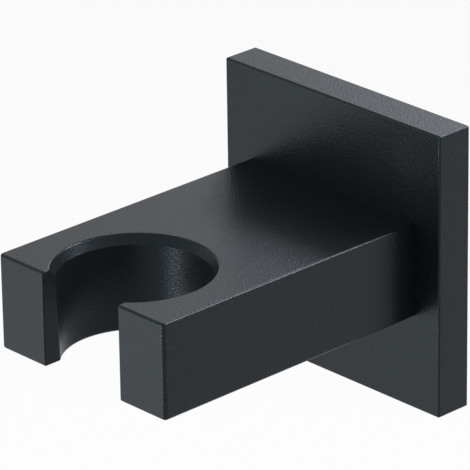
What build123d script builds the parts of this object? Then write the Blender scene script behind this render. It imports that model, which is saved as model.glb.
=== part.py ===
from build123d import *
import os

# Square wall holder for a hand shower: an arm with a cone seat and a hose slot, held by two
# screws on a hollow square plate, which hooks over a bracket on the wall.
# Millimetres. The origin is the middle of the back face, on the wall. +Y goes into the wall,
# the arm stands out along -Y, +X is to the right and +Z is up.

os.makedirs("parts", exist_ok=True)

# Cover plate
plate_side = 45.0
plate_depth = 6.0
plate_rim = 4.0
plate_edge_round = 0.3
pocket_corner_radius = 3.0

# Arm
arm_width = 35.0
arm_height = 15.0
arm_length = 50.0
arm_tip_round = 0.6
arm_edge_round = 0.4

# Seat for the handset's cone, cut down through the arm near its tip
seat_axis_to_tip = 10.5
seat_rim_radius = 12.2
seat_mouth_radius = 11.4
seat_foot_radius = 11.0
seat_flare_depth = 1.5
seat_edge_break = 0.3

# Slot that lets the hose in from the front
slot_width = 16.0

# Countersunk socket screws that hold the arm on the plate
arm_screw_spacing = 20.0
arm_screw_diameter = 4.0
arm_screw_length = 12.0
arm_screw_head_diameter = 8.0
arm_screw_head_land = 0.3
arm_screw_head_sink = 0.1
arm_screw_socket = 2.5
arm_screw_socket_depth = 1.5
arm_screw_tip_chamfer = 0.5
arm_screw_hole_gap = 0.15
web_under_head = 0.1
tapped_hole_spare = 1.6
drill_point = 1.2

# Wall bracket, in the plate's pocket
bracket_web_gap = 0.2
bracket_side_gap = 0.4
bracket_lip = 0.4
wall_screw_spacing = 20.0
wall_screw_hole_radius = 2.25
wall_screw_sink_radius = 4.3

# Hook along the bracket's top edge, at 45 degrees
hook_rise = 1.1
hook_gap = 0.1
hook_end_gap = 0.3
unhook_spare = 0.2

# Cone-point grub screw up through the plate's lower edge
grub_diameter = 3.0
grub_length = 5.0
grub_point_radius = 0.3
grub_socket = 1.5
grub_socket_depth = 1.8
grub_end_chamfer = 0.3
grub_to_wall = 1.9

# Clearances
thread_gap = 0.05
seat_gap = 0.03

# Arm and seat, worked out
arm_back_y = -plate_depth
arm_tip_y = arm_back_y - arm_length
arm_top = arm_height / 2
arm_bottom = -arm_height / 2
seat_axis_y = arm_tip_y + seat_axis_to_tip

# Screws, worked out: the plate's web is as thick as the sunk heads need
screw_radius = arm_screw_diameter / 2
screw_head_radius = arm_screw_head_diameter / 2
screw_head_height = arm_screw_head_land + screw_head_radius - screw_radius
countersink_radius = screw_head_radius + arm_screw_head_land + arm_screw_head_sink + seat_gap
plate_web = arm_screw_head_sink + screw_head_height + web_under_head
pocket_depth = plate_depth - plate_web
screw_face_y = -(pocket_depth + arm_screw_head_sink)
screw_tip_y = screw_face_y - arm_screw_length
tapped_hole_depth = arm_back_y - screw_tip_y + tapped_hole_spare

# Pocket, hook and bracket, worked out
pocket_side = plate_side - 2 * plate_rim
pocket_top = pocket_side / 2
pocket_bottom = -pocket_side / 2
pocket_straight = pocket_side - 2 * pocket_corner_radius
bracket_thickness = pocket_depth - bracket_web_gap
bracket_width = pocket_side - 2 * bracket_side_gap
bracket_top = pocket_top
bracket_bottom = pocket_bottom + hook_rise + unhook_spare
hook_y = -(bracket_thickness - hook_rise)
groove_y = hook_y + hook_gap
bevel_height = bracket_thickness - bracket_lip

# Grub screw, worked out: its point follows the bracket's bevel
grub_radius = grub_diameter / 2
grub_y = -grub_to_wall
grub_apex_z = bracket_bottom + bevel_height - grub_to_wall - seat_gap
grub_tip_z = grub_apex_z - grub_point_radius
grub_end_z = grub_tip_z - grub_length

# Faces that are drilled, each with its plane facing out of the metal
arm_back = Plane(origin=(0, arm_back_y, 0), x_dir=(1, 0, 0), z_dir=(0, 1, 0))
web_back = Plane(origin=(0, -pocket_depth, 0), x_dir=(1, 0, 0), z_dir=(0, 1, 0))
bracket_front = Plane(origin=(0, -bracket_thickness, 0), x_dir=(1, 0, 0), z_dir=(0, -1, 0))
plate_underside = Plane(origin=(0, grub_y, -plate_side / 2), x_dir=(1, 0, 0), z_dir=(0, 0, -1))

# Arm: a bar with rounded corners at its tip and broken edges along it
with BuildPart() as arm:
    with BuildSketch(Plane.XY.offset(arm_bottom)) as plan:
        with Locations((0, arm_back_y - arm_length / 2)):
            Rectangle(arm_width, arm_length)
        fillet(plan.vertices().group_by(Axis.Y)[0], arm_tip_round)
    extrude(amount=arm_height)
    outline = arm.faces().filter_by(Axis.Z).edges()
    fillet(outline.group_by(Axis.Y)[0:-1], arm_edge_round)

    # Seat: a slow cone with a flared mouth
    with BuildSketch(Plane.XZ.offset(-seat_axis_y)):
        with BuildLine():
            Polyline(
                (0, arm_bottom),
                (seat_foot_radius, arm_bottom),
                (seat_mouth_radius, arm_top - seat_flare_depth),
                (seat_rim_radius, arm_top),
                (0, arm_top),
                close=True,
            )
        make_face()
    revolve(axis=Axis((0, seat_axis_y, 0), (0, 0, 1)), mode=Mode.SUBTRACT)

    # Hose slot from the tip into the seat
    with BuildSketch(Plane.XY.offset(arm_bottom)):
        with Locations((0, arm_tip_y + seat_axis_to_tip / 2)):
            Rectangle(slot_width, seat_axis_to_tip)
    extrude(amount=arm_height, mode=Mode.SUBTRACT)

    # Every edge of the slot's walls and both rims of the seat are broken
    slot_walls = arm.faces().filter_by(Axis.X).sort_by(lambda face: abs(face.center().X))[0:2]
    seat_walls = arm.faces().filter_by(GeomType.CONE)
    rims = seat_walls.edges().filter_by(GeomType.CIRCLE)
    rims = rims.group_by(Axis.Z)[0] + rims.group_by(Axis.Z)[-1]
    fillet(slot_walls.edges() + rims, seat_edge_break)

    # Tapped holes in the back end, with the point of the drill at the bottom
    with Locations(arm_back):
        with GridLocations(arm_screw_spacing, 0, 2, 1):
            Hole(radius=screw_radius + thread_gap, depth=tapped_hole_depth)
            with Locations((0, 0, -tapped_hole_depth - drill_point / 2)):
                Cone(
                    bottom_radius=0,
                    top_radius=screw_radius + thread_gap,
                    height=drill_point,
                    mode=Mode.SUBTRACT,
                )
arm.part.label = "arm"
export_step(arm.part, "parts/arm.step")

# Cover plate: a square plate with a milled pocket in its back
with BuildPart() as cover_plate:
    with BuildSketch(Plane.XZ):
        Rectangle(plate_side, plate_side)
    extrude(amount=plate_depth)
    fillet(cover_plate.edges().group_by(Axis.Y)[0:-1], plate_edge_round)

    with BuildSketch(Plane.XZ):
        RectangleRounded(pocket_side, pocket_side, pocket_corner_radius)
    extrude(amount=pocket_depth, mode=Mode.SUBTRACT)

    # Undercut groove along the top of the pocket, which hooks over the bracket
    with BuildSketch(Plane.YZ.offset(-pocket_straight / 2)):
        with BuildLine():
            Polyline(
                (groove_y, pocket_top),
                (-pocket_depth, pocket_top),
                (-pocket_depth, pocket_top + pocket_depth + groove_y),
                close=True,
            )
        make_face()
    extrude(amount=pocket_straight, mode=Mode.SUBTRACT)

    with Locations(web_back):
        with GridLocations(arm_screw_spacing, 0, 2, 1):
            CounterSinkHole(
                radius=screw_radius + arm_screw_hole_gap,
                counter_sink_radius=countersink_radius,
                counter_sink_angle=90,
            )
    with Locations(plate_underside):
        Hole(radius=grub_radius + thread_gap, depth=plate_side / 2)
cover_plate.part.label = "cover_plate"
export_step(cover_plate.part, "parts/cover_plate.step")

# One countersunk socket screw, its head's flat face at y = 0 and its shank along -Y
with BuildPart() as arm_screw:
    with BuildSketch(Plane.XY):
        with BuildLine():
            Polyline(
                (0, 0),
                (screw_head_radius, 0),
                (screw_head_radius, -arm_screw_head_land),
                (screw_radius, -screw_head_height),
                (screw_radius, -arm_screw_length + arm_screw_tip_chamfer),
                (screw_radius - arm_screw_tip_chamfer, -arm_screw_length),
                (0, -arm_screw_length),
                close=True,
            )
        make_face()
    revolve(axis=Axis.Y)
    with BuildSketch(Plane.XZ):
        RegularPolygon(radius=arm_screw_socket / 2, side_count=6, major_radius=False)
    extrude(amount=arm_screw_socket_depth, mode=Mode.SUBTRACT)

with BuildPart() as arm_screws:
    with Locations(Plane(origin=(0, screw_face_y, 0))):
        with GridLocations(arm_screw_spacing, 0, 2, 1):
            add(arm_screw.part)
arm_screws.part.label = "arm_screws"
export_step(arm_screws.part, "parts/arm_screws.step")

# Wall bracket: a plate with a hooked top edge and a lower edge bevelled on the wall side
with BuildPart() as wall_bracket:
    with BuildSketch(Plane.XZ):
        with Locations((0, (bracket_top + bracket_bottom) / 2)):
            RectangleRounded(bracket_width, bracket_top - bracket_bottom, pocket_corner_radius)
    extrude(amount=bracket_thickness)

    with BuildSketch(Plane.YZ.offset(-(pocket_straight / 2 - hook_end_gap))):
        with BuildLine():
            Polyline(
                (hook_y, bracket_top),
                (-bracket_thickness, bracket_top),
                (-bracket_thickness, bracket_top + hook_rise),
                close=True,
            )
        make_face()
    extrude(amount=pocket_straight - 2 * hook_end_gap)

    with BuildSketch(Plane.YZ.offset(-bracket_width / 2)):
        with BuildLine():
            Polyline(
                (-bevel_height, bracket_bottom),
                (0, bracket_bottom),
                (0, bracket_bottom + bevel_height),
                close=True,
            )
        make_face()
    extrude(amount=bracket_width, mode=Mode.SUBTRACT)

    with Locations(bracket_front):
        with GridLocations(0, wall_screw_spacing, 1, 2):
            CounterSinkHole(
                radius=wall_screw_hole_radius,
                counter_sink_radius=wall_screw_sink_radius,
                counter_sink_angle=90,
            )
wall_bracket.part.label = "wall_bracket"
export_step(wall_bracket.part, "parts/wall_bracket.step")

# Grub screw: its cone point bears on the bracket's bevel and draws the plate to the wall
with BuildPart() as grub_screw:
    with BuildSketch(Plane.XZ.offset(grub_to_wall)):
        with BuildLine():
            Polyline(
                (0, grub_end_z),
                (grub_radius - grub_end_chamfer, grub_end_z),
                (grub_radius, grub_end_z + grub_end_chamfer),
                (grub_radius, grub_apex_z - grub_radius),
                (grub_point_radius, grub_tip_z),
                (0, grub_tip_z),
                close=True,
            )
        make_face()
    revolve(axis=Axis((0, grub_y, 0), (0, 0, 1)))
    with BuildSketch(Plane(origin=(0, grub_y, grub_end_z))):
        RegularPolygon(radius=grub_socket / 2, side_count=6, major_radius=False)
    extrude(amount=grub_socket_depth, mode=Mode.SUBTRACT)
grub_screw.part.label = "grub_screw"
export_step(grub_screw.part, "parts/grub_screw.step")
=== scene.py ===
from math import cos, radians, sin

import bpy
from mathutils import Matrix, Vector


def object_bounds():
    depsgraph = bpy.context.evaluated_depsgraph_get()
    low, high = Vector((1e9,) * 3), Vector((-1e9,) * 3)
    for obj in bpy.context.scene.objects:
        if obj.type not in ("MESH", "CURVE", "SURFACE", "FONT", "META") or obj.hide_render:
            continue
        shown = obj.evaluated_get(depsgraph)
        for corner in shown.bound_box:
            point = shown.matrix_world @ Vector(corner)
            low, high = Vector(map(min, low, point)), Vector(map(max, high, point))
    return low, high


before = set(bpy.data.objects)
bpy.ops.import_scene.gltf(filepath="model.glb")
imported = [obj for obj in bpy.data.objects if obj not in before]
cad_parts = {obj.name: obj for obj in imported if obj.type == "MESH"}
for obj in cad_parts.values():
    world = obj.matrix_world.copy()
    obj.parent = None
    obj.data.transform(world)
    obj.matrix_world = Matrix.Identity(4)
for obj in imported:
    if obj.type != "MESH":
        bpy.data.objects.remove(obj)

# A square wall holder for a hand shower: brass, coated matt black, on a hidden steel bracket.
# Metres, in the part's own frame: the wall is the plane y = 0, the arm stands out along -Y.

cad_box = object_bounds()
MM = 0.001

# Camera, fitted to the outlines in the photograph, with its angles in degrees
FRAME_PX = 470
SENSOR_MM = 36
FOCAL_PX = 4543.67
CAMERA_AIM = Vector((7.677, -32.822, 10.928)) * MM
CAMERA_DISTANCE = 651.769 * MM
CAMERA_AZIMUTH = 46.912
CAMERA_ELEVATION = 23.612
CAMERA_ROLL = -0.879
CAMERA_CLIP_START = 50 * MM

# Floor, far enough below the holder that its shadow is soft and the lamps light it evenly
FLOOR_DROP = 0.90
FLOOR_HALF = 12.0
FLOOR_COLOUR = "#e8e8e8"
FLOOR_GLOW = 0.585

# World: how white the background is seen, and how strongly it lights the holder
WHITE = "#ffffff"
WHITE_SEEN = 0.985
WORLD_LEVEL = 0.45

# Softboxes: name, way from the holder, distance, side, watts, colour, whether it lights the
# pieces' own colour, whether it shows in their gloss
SOFTBOXES = [
    # a little light on all that faces the front, also inside the seat
    ("front_softbox", (-0.2, -0.97, -0.1), 0.28, 0.12, 0.27, WHITE, True, True),
    # the main lamp on the two front faces of the arm
    ("low_softbox", (-0.632, -0.661, -0.406), 0.224, 0.09, 0.026, WHITE, True, True),
    # shines over the cover plate, whose shadow darkens the arm's root
    ("back_softbox", (-0.476, 0.706, 0.523), 1.5, 0.275, 3.8, "#ebf1ff", True, True),
    # lights the right sides; its gloss would put a bright spot on the seat's flared mouth
    ("right_fill", (0.62, 0.74, 0.26), 0.6, 0.2, 3.3, WHITE, True, False),
    # a thin line of light along the arm's upper right edge
    ("top_edge_strip", (0.402, 0.625, 0.669), 0.6, 0.30, 4.6, WHITE, False, True),
    # gloss on the faces to the front and, through the hose slot, on the seat's back wall
    ("slot_strip", (-0.29, -0.94, -0.18), 0.5, 0.15, 1.6, WHITE, False, True),
]

# Coating: its colour between the specks and on them, its gloss, and that gloss's cool tint
COATING_DARK = "#121516"
COATING_PALE = "#1a1e21"
COATING_ROUGH = (0.30, 0.33)
COATING_IOR = 1.3
COATING_GLOSS = "#d8eeff"

# Screws
SCREW_DARK = "#a9a8a4"
SCREW_PALE = "#c9c8c4"
SCREW_ROUGH = (0.22, 0.42)

# Bracket
ZINC_DARK = "#9ba2a8"
ZINC_PALE = "#c3c5c2"
ZINC_ROUGH = (0.28, 0.48)

# Most of a noise's values lie between these
NOISE_LOW = 0.3
NOISE_HIGH = 0.7


def linear(hex_colour):
    """An sRGB hex colour as the linear RGBA that shader sockets take."""
    channels = [int(hex_colour[i:i + 2], 16) / 255 for i in (1, 3, 5)]
    return [c / 12.92 if c <= 0.04045 else ((c + 0.055) / 1.055) ** 2.4 for c in channels] + [1.0]


def node(tree, kind, settings=None, inputs=None):
    """Adds one node; an input is a value or, as another node's output socket, a link."""
    new = tree.nodes.new(kind)
    for name, value in (settings or {}).items():
        setattr(new, name, value)
    for name, value in (inputs or {}).items():
        if isinstance(value, bpy.types.NodeSocket):
            tree.links.new(value, new.inputs[name])
        else:
            new.inputs[name].default_value = value
    return new


def blank_material(name):
    """A new material with its node tree emptied."""
    material = bpy.data.materials.new(name)
    material.use_nodes = True
    material.node_tree.nodes.clear()
    return material


def end_with(tree, shader):
    """Makes the shader the material's surface."""
    node(tree, "ShaderNodeOutputMaterial", inputs={"Surface": shader.outputs[0]})


def matt_black_coating():
    """Matt black coating on brass: its fine grit breaks the light into a dull, even grey."""
    material = blank_material("matt_black_coating")
    tree = material.node_tree
    place = node(tree, "ShaderNodeTexCoord").outputs["Object"]
    # the real grit is nearer 0.05 mm, too fine to show, so it is drawn coarser
    grit_mm = 0.28
    grit_height_mm = 0.034
    cloud_mm = 9
    grit = node(tree, "ShaderNodeTexNoise", inputs={
        "Vector": place, "Scale": 1 / (grit_mm * MM), "Detail": 1.0, "Roughness": 0.5})
    speck = node(tree, "ShaderNodeMapRange", inputs={
        "Value": grit.outputs["Fac"], "From Min": NOISE_LOW, "From Max": NOISE_HIGH})
    cloud = node(tree, "ShaderNodeTexNoise", inputs={
        "Vector": place, "Scale": 1 / (cloud_mm * MM), "Detail": 2.0})
    shade = node(tree, "ShaderNodeMix", {"data_type": "RGBA"}, {
        "Factor": speck.outputs["Result"], "A": linear(COATING_DARK), "B": linear(COATING_PALE)})
    rough = node(tree, "ShaderNodeMapRange", inputs={
        "Value": cloud.outputs["Fac"], "From Min": NOISE_LOW, "From Max": NOISE_HIGH,
        "To Min": COATING_ROUGH[0], "To Max": COATING_ROUGH[1]})
    bump = node(tree, "ShaderNodeBump", inputs={
        "Height": grit.outputs["Fac"], "Strength": 1.0, "Distance": grit_height_mm * MM})
    end_with(tree, node(tree, "ShaderNodeBsdfPrincipled", inputs={
        "Base Color": shade.outputs["Result"], "Roughness": rough.outputs["Result"],
        "Normal": bump.outputs["Normal"], "IOR": COATING_IOR,
        "Specular Tint": linear(COATING_GLOSS)}))
    return material


def stainless_steel():
    """Turned stainless steel screws: a clear grey shine, broken a little by fine grain."""
    material = blank_material("turned_stainless_steel")
    tree = material.node_tree
    place = node(tree, "ShaderNodeTexCoord").outputs["Object"]
    # the real turning marks are nearer 0.05 mm, too fine to show, so they are drawn coarser
    grain_mm = 0.3
    grain = node(tree, "ShaderNodeTexNoise", inputs={
        "Vector": place, "Scale": 1 / (grain_mm * MM), "Detail": 3.0})
    tint = node(tree, "ShaderNodeMix", {"data_type": "RGBA"}, {
        "Factor": grain.outputs["Fac"], "A": linear(SCREW_DARK), "B": linear(SCREW_PALE)})
    rough = node(tree, "ShaderNodeMapRange", inputs={
        "Value": grain.outputs["Fac"], "To Min": SCREW_ROUGH[0], "To Max": SCREW_ROUGH[1]})
    end_with(tree, node(tree, "ShaderNodeBsdfPrincipled", inputs={
        "Base Color": tint.outputs["Result"], "Metallic": 1.0,
        "Roughness": rough.outputs["Result"]}))
    return material


def zinc_plated_steel():
    """Zinc-plated pressed steel: a bluish grey, cloudy from the plating bath."""
    material = blank_material("zinc_plated_steel")
    tree = material.node_tree
    place = node(tree, "ShaderNodeTexCoord").outputs["Object"]
    cloud_mm = 6
    # the real crystals are nearer 0.02 mm, too fine to show, so they are drawn coarser
    crystal_mm = 0.25
    crystal_height_mm = 0.01
    cloud = node(tree, "ShaderNodeTexNoise", inputs={
        "Vector": place, "Scale": 1 / (cloud_mm * MM), "Detail": 4.0})
    crystals = node(tree, "ShaderNodeTexNoise", inputs={
        "Vector": place, "Scale": 1 / (crystal_mm * MM), "Detail": 2.0})
    tint = node(tree, "ShaderNodeMix", {"data_type": "RGBA"}, {
        "Factor": cloud.outputs["Fac"], "A": linear(ZINC_DARK), "B": linear(ZINC_PALE)})
    rough = node(tree, "ShaderNodeMapRange", inputs={
        "Value": cloud.outputs["Fac"], "To Min": ZINC_ROUGH[0], "To Max": ZINC_ROUGH[1]})
    bump = node(tree, "ShaderNodeBump", inputs={
        "Height": crystals.outputs["Fac"], "Strength": 0.3, "Distance": crystal_height_mm * MM})
    end_with(tree, node(tree, "ShaderNodeBsdfPrincipled", inputs={
        "Base Color": tint.outputs["Result"], "Metallic": 1.0,
        "Roughness": rough.outputs["Result"], "Normal": bump.outputs["Normal"]}))
    return material


def wear(node_name, material):
    """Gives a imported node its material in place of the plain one."""
    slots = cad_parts[node_name].data.materials
    slots.clear()
    slots.append(material)


def background_ray(tree):
    """1 for a ray that the background is seen by: straight, in a gloss or through glass."""
    path = node(tree, "ShaderNodeLightPath").outputs
    seen = node(tree, "ShaderNodeMath", {"operation": "MAXIMUM"}, {
        0: path["Is Camera Ray"], 1: path["Is Glossy Ray"]})
    return node(tree, "ShaderNodeMath", {"operation": "MAXIMUM"}, {
        0: seen.outputs[0], 1: path["Is Transmission Ray"]}).outputs[0]


def pale_floor():
    """A plain pale floor that takes shadows, and glows so that it is seen white."""
    height = cad_box[0][2] - FLOOR_DROP
    corners = [(x * FLOOR_HALF, y * FLOOR_HALF, height)
               for x, y in ((-1, -1), (1, -1), (1, 1), (-1, 1))]
    mesh = bpy.data.meshes.new("floor")
    mesh.from_pydata(corners, [], [(0, 1, 2, 3)])
    floor = bpy.data.objects.new("floor", mesh)
    bpy.context.scene.collection.objects.link(floor)
    material = blank_material("pale_floor")
    tree = material.node_tree
    matt = node(tree, "ShaderNodeBsdfDiffuse", inputs={"Color": linear(FLOOR_COLOUR)})
    glow = node(tree, "ShaderNodeMath", {"operation": "MULTIPLY"}, {
        0: background_ray(tree), 1: FLOOR_GLOW})
    white = node(tree, "ShaderNodeEmission", inputs={"Strength": glow.outputs[0]})
    end_with(tree, node(tree, "ShaderNodeAddShader", inputs={
        0: matt.outputs[0], 1: white.outputs[0]}))
    mesh.materials.append(material)


def studio_world():
    """White where the background is seen, and an even soft light on the holder."""
    world = bpy.data.worlds.new("studio")
    bpy.context.scene.world = world
    world.use_nodes = True
    tree = world.node_tree
    tree.nodes.clear()
    soft = node(tree, "ShaderNodeBackground", inputs={
        "Color": linear(WHITE), "Strength": WORLD_LEVEL})
    white = node(tree, "ShaderNodeBackground", inputs={
        "Color": linear(WHITE), "Strength": WHITE_SEEN})
    mix = node(tree, "ShaderNodeMixShader", inputs={
        0: background_ray(tree), 1: soft.outputs[0], 2: white.outputs[0]})
    node(tree, "ShaderNodeOutputWorld", inputs={"Surface": mix.outputs[0]})


def softbox(name, towards, distance, side, watts, colour, lights_colour, shows_in_gloss):
    """A square area lamp that stands in a direction from the holder and faces it."""
    data = bpy.data.lights.new(name, "AREA")
    data.shape = "SQUARE"
    data.size = side
    data.energy = watts
    data.color = linear(colour)[:3]
    lamp = bpy.data.objects.new(name, data)
    bpy.context.scene.collection.objects.link(lamp)
    lamp.visible_diffuse = lights_colour
    lamp.visible_glossy = shows_in_gloss
    way = Vector(towards).normalized()
    lamp.location = CAMERA_AIM + distance * way
    lamp.rotation_euler = way.to_track_quat("Z", "Y").to_euler()


def photo_camera():
    """The camera at the photograph's place, with its small roll, and no shift."""
    azimuth, elevation, roll = map(radians, (CAMERA_AZIMUTH, CAMERA_ELEVATION, CAMERA_ROLL))
    back = Vector((
        sin(azimuth) * cos(elevation), -cos(azimuth) * cos(elevation), sin(elevation)))
    level = Vector((cos(azimuth), sin(azimuth), 0))
    upright = back.cross(level)
    right = cos(roll) * level + sin(roll) * upright
    up = cos(roll) * upright - sin(roll) * level
    data = bpy.data.cameras.new("photo_camera")
    data.sensor_width = SENSOR_MM
    data.lens = FOCAL_PX * SENSOR_MM / FRAME_PX
    data.clip_start = CAMERA_CLIP_START
    camera = bpy.data.objects.new("photo_camera", data)
    bpy.context.scene.collection.objects.link(camera)
    turn = Matrix((right, up, back)).transposed().to_4x4()
    camera.matrix_world = Matrix.Translation(CAMERA_AIM + CAMERA_DISTANCE * back) @ turn
    bpy.context.scene.camera = camera


coating = matt_black_coating()
screw_steel = stainless_steel()
wear("arm", coating)
wear("cover_plate", coating)
wear("wall_bracket", zinc_plated_steel())
wear("arm_screws", screw_steel)
wear("grub_screw", screw_steel)

photo_camera()
pale_floor()
studio_world()
for box in SOFTBOXES:
    softbox(*box)
bpy.context.scene.view_settings.view_transform = "Standard"
